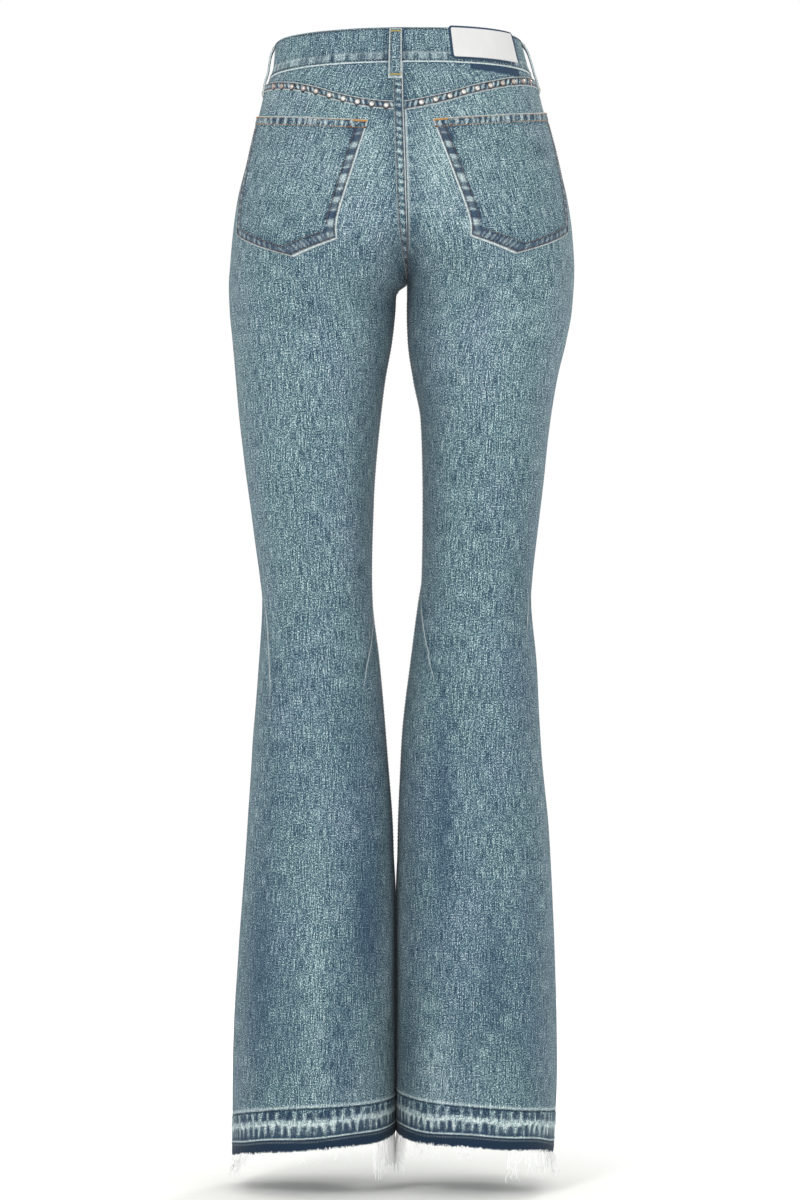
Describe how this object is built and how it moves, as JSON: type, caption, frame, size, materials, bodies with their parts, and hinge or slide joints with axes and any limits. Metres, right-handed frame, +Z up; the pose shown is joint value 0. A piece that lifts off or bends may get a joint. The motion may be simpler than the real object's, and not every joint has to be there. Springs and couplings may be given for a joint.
{
  "type": "pair of flared denim jeans",
  "caption": "Worn denim jeans in their standing form: fitted hips, flared legs, shallow V yoke with domed studs, slanted back patch pockets and a raw let-down hem.",
  "frame": {"origin": "middle of the waist opening, halfway up the waistband, where the wearer's waist holds the garment", "axes": "+Z up along the legs' length, front of the garment towards -Y, wearer's left towards +X"},
  "size_m": [0.343, 0.2314, 1.1364],
  "materials": {
    "denim": "washed teal blue cotton twill, matt",
    "band_patch": "plain off-white, smooth and matt",
    "frayed_thread": "loose white cotton threads",
    "stud_metal": "pearly nickel, slightly worn",
    "button_metal": "antiqued copper tone",
    "zip_tape": "dark navy woven tape"
  },
  "bodies": {
    "root": {"waistband": "denim", "waist_label": "band_patch", "back_yoke_left": "denim", "back_yoke_right": "denim", "back_panel_left": "denim", "back_panel_right": "denim", "front_panel_left": "denim", "front_panel_right": "denim", "back_pocket_left": "denim", "back_pocket_right": "denim", "pocket_facing_left": "denim", "pocket_facing_right": "denim", "hem_fringe_left": "frayed_thread", "hem_fringe_right": "frayed_thread", "belt_loop_centre_back": "denim", "belt_loop_left_side": "denim", "belt_loop_right_side": "denim", "belt_loop_left_front": "denim", "belt_loop_right_front": "denim", "fly_guard": "denim", "fly_zip": "zip_tape", "waist_button": "button_metal", "yoke_stud_left_1": "stud_metal", "yoke_stud_left_2": "stud_metal", "yoke_stud_left_3": "stud_metal", "yoke_stud_left_4": "stud_metal", "yoke_stud_left_5": "stud_metal", "yoke_stud_left_6": "stud_metal", "yoke_stud_left_7": "stud_metal", "yoke_stud_left_8": "stud_metal", "yoke_stud_left_9": "stud_metal", "yoke_stud_left_10": "stud_metal", "yoke_stud_right_1": "stud_metal", "yoke_stud_right_2": "stud_metal", "yoke_stud_right_3": "stud_metal", "yoke_stud_right_4": "stud_metal", "yoke_stud_right_5": "stud_metal", "yoke_stud_right_6": "stud_metal", "yoke_stud_right_7": "stud_metal", "yoke_stud_right_8": "stud_metal", "yoke_stud_right_9": "stud_metal", "yoke_stud_right_10": "stud_metal"}
  },
  "joints": []
}
